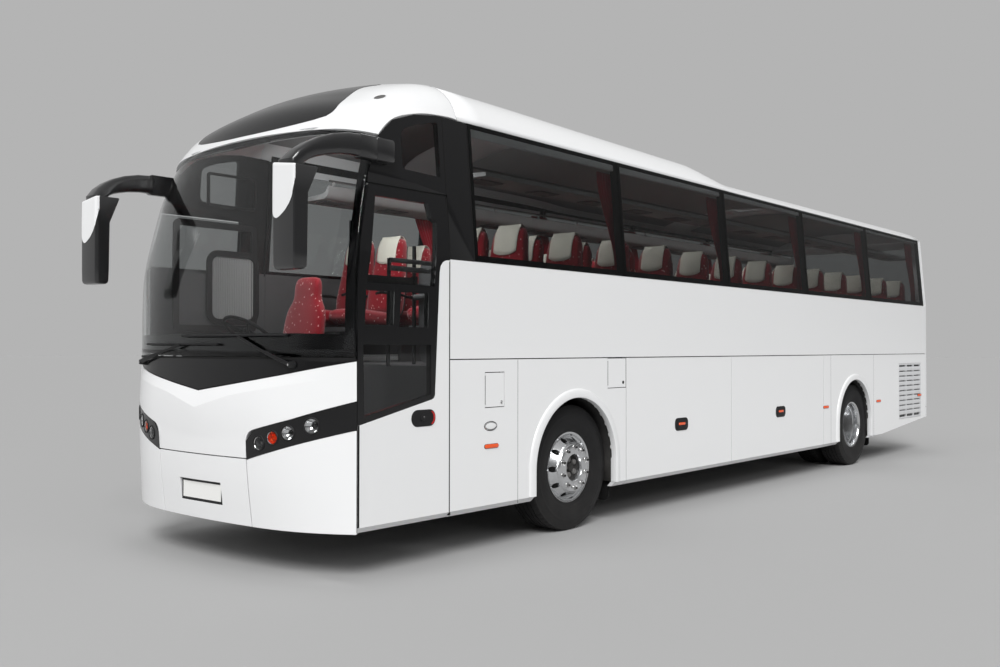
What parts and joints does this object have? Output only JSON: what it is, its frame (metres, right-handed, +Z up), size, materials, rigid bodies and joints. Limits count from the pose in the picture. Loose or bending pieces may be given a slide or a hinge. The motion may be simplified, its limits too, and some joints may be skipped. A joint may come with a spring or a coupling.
{
  "type": "touring coach bus",
  "caption": "Two-axle touring coach with a swing-out entrance door, luggage flaps, steered front wheels, glazed saloon with seats, and a raised front roof.",
  "frame": {"origin": "on the ground under the middle of the coach's box", "axes": "+X forward, +Y to the coach's left, +Z up"},
  "size_m": [11.963, 2.592, 3.609],
  "materials": {
    "paint_white": "gloss white paint",
    "gloss_black": "gloss black paint",
    "clear_glass": "clear laminated glass with a light tint",
    "tinted_glass": "dark tinted glass",
    "matte_black": "matte black plastic",
    "lamp_clear": "clear lamp lens over a chromed reflector",
    "lamp_red": "red lamp lens",
    "floor_grey": "dark grey floor covering",
    "chassis_black": "black chassis paint",
    "cast_grey": "bare casting",
    "tyre_rubber": "tyre rubber",
    "wheel_alloy": "polished forged alloy",
    "seat_red": "red plush with small pale dots",
    "cover_cloth": "pale woven cloth",
    "trim_grey": "grey moulded trim",
    "curtain_red": "red curtain cloth"
  },
  "bodies": {
    "coach_body": {"roof": "paint_white", "roof_dome": "paint_white", "roof_cap": "gloss_black", "nose_black_panel": "gloss_black", "nose_mask": "paint_white", "bumper_corners": "paint_white", "lamp_bands": "gloss_black", "windscreen": "clear_glass", "side_wall_left": "paint_white", "side_wall_right": "paint_white", "side_windows": "tinted_glass", "quarter_panels": "gloss_black", "skirt_left": "paint_white", "skirt_right": "paint_white", "side_grilles": "matte_black", "rear_panel": "paint_white", "rear_window": "tinted_glass", "rear_bumper": "paint_white", "tail_lamps": "lamp_red", "floor_deck": "floor_grey", "underframe": "chassis_black", "engine_block": "cast_grey", "front_axle": "chassis_black", "rear_axle": "chassis_black", "passenger_seats": "seat_red", "headrest_covers": "cover_cloth", "driver_seat": "seat_red", "dashboard": "trim_grey", "saloon_fittings": "trim_grey", "headlamps": "lamp_clear", "wipers": "matte_black", "hinge_rods": "chassis_black", "curtains": "curtain_red", "mirror_left": "gloss_black", "mirror_right": "gloss_black", "mudflaps": "matte_black"},
    "steer_left": {"knuckle_left": "cast_grey"},
    "steer_right": {"knuckle_right": "cast_grey"},
    "wheel_front_left": {"tyre_front_left": "tyre_rubber", "rim_front_left": "wheel_alloy"},
    "wheel_front_right": {"tyre_front_right": "tyre_rubber", "rim_front_right": "wheel_alloy"},
    "wheels_rear_left": {"tyres_rear_left": "tyre_rubber", "rim_rear_left": "wheel_alloy"},
    "wheels_rear_right": {"tyres_rear_right": "tyre_rubber", "rim_rear_right": "wheel_alloy"},
    "steering_wheel": {"steering_wheel": "matte_black"},
    "door_arm": {"door_arm": "chassis_black"},
    "door": {"door_leaf": "gloss_black", "door_glass": "clear_glass"},
    "luggage_flap_left_front": {"luggage_flap_left_front": "paint_white"},
    "luggage_flap_left_rear": {"luggage_flap_left_rear": "paint_white"},
    "luggage_flap_right_front": {"luggage_flap_right_front": "paint_white"},
    "luggage_flap_right_rear": {"luggage_flap_right_rear": "paint_white"},
    "engine_lid": {"engine_lid": "paint_white"},
    "fuel_flap": {"fuel_flap": "paint_white"},
    "service_flap": {"service_flap": "paint_white"},
    "bumper_flap": {"bumper_flap": "paint_white"},
    "roof_hatch_front": {"roof_hatch_front": "paint_white"},
    "roof_hatch_rear": {"roof_hatch_rear": "paint_white"}
  },
  "joints": [
    {"name": "steer_left_turn", "type": "hinge", "parent": "coach_body", "child": "steer_left", "pos_m": [3.03, 1.02, 0.522], "axis": [0, 0, 1], "range_deg": [-40, 40]},
    {"name": "steer_right_turn", "type": "hinge", "parent": "coach_body", "child": "steer_right", "pos_m": [3.03, -1.02, 0.522], "axis": [0, 0, 1], "range_deg": [-40, 40]},
    {"name": "wheel_front_left_spin", "type": "hinge", "parent": "steer_left", "child": "wheel_front_left", "pos_m": [3.03, 1.062, 0.522], "axis": [0, 1, 0], "continuous": true},
    {"name": "wheel_front_right_spin", "type": "hinge", "parent": "steer_right", "child": "wheel_front_right", "pos_m": [3.03, -1.062, 0.522], "axis": [0, 1, 0], "continuous": true},
    {"name": "wheels_rear_left_spin", "type": "hinge", "parent": "coach_body", "child": "wheels_rear_left", "pos_m": [-3.15, 1.069, 0.522], "axis": [0, 1, 0], "continuous": true},
    {"name": "wheels_rear_right_spin", "type": "hinge", "parent": "coach_body", "child": "wheels_rear_right", "pos_m": [-3.15, -1.069, 0.522], "axis": [0, 1, 0], "continuous": true},
    {"name": "steering_wheel_turn", "type": "hinge", "parent": "coach_body", "child": "steering_wheel", "pos_m": [4.96, -0.56, 1.625], "axis": [-0.5736, 0, 0.8192], "range_deg": [-800, 800]},
    {"name": "door_swing", "type": "hinge", "parent": "coach_body", "child": "door_arm", "pos_m": [5.36, 1.12, 1.3], "axis": [0, 0, -1], "range_deg": [0, 100]},
    {"name": "door_leaf_turn", "type": "hinge", "parent": "door_arm", "child": "door", "pos_m": [4.79, 1.12, 1.3], "axis": [0, 0, 1], "range_deg": [0, 100]},
    {"name": "luggage_left_front_lift", "type": "hinge", "parent": "coach_body", "child": "luggage_flap_left_front", "pos_m": [1.33, 1.275, 1.427], "axis": [1, 0, 0], "range_deg": [0, 90]},
    {"name": "luggage_left_rear_lift", "type": "hinge", "parent": "coach_body", "child": "luggage_flap_left_rear", "pos_m": [-0.87, 1.275, 1.427], "axis": [1, 0, 0], "range_deg": [0, 90]},
    {"name": "luggage_right_front_lift", "type": "hinge", "parent": "coach_body", "child": "luggage_flap_right_front", "pos_m": [1.33, -1.275, 1.427], "axis": [-1, 0, 0], "range_deg": [0, 90]},
    {"name": "luggage_right_rear_lift", "type": "hinge", "parent": "coach_body", "child": "luggage_flap_right_rear", "pos_m": [-0.87, -1.275, 1.427], "axis": [-1, 0, 0], "range_deg": [0, 90]},
    {"name": "engine_lid_lift", "type": "hinge", "parent": "coach_body", "child": "engine_lid", "pos_m": [-5.982, 0, 1.564], "axis": [0, 1, 0], "range_deg": [0, 80]},
    {"name": "fuel_flap_swing", "type": "hinge", "parent": "coach_body", "child": "fuel_flap", "pos_m": [4.201, 1.275, 1.2], "axis": [0, 0, -1], "range_deg": [0, 110]},
    {"name": "service_flap_swing", "type": "hinge", "parent": "coach_body", "child": "service_flap", "pos_m": [2.596, 1.275, 1.29], "axis": [0, 0, -1], "range_deg": [0, 110]},
    {"name": "bumper_flap_drop", "type": "hinge", "parent": "coach_body", "child": "bumper_flap", "pos_m": [5.775, 0, 0.306], "axis": [0, 1, 0], "range_deg": [0, 75]},
    {"name": "hatch_front_lift", "type": "hinge", "parent": "coach_body", "child": "roof_hatch_front", "pos_m": [2.73, 0, 3.579], "axis": [0, 1, 0], "range_deg": [0, 45]},
    {"name": "hatch_rear_lift", "type": "hinge", "parent": "coach_body", "child": "roof_hatch_rear", "pos_m": [-2.27, 0, 3.385], "axis": [0, 1, 0], "range_deg": [0, 45]}
  ],
  "couplings": [
    {"joint": "steer_right_turn", "follows": "steer_left_turn", "ratio": 1},
    {"joint": "steering_wheel_turn", "follows": "steer_left_turn", "ratio": 20},
    {"joint": "door_leaf_turn", "follows": "door_swing", "ratio": 1}
  ]
}
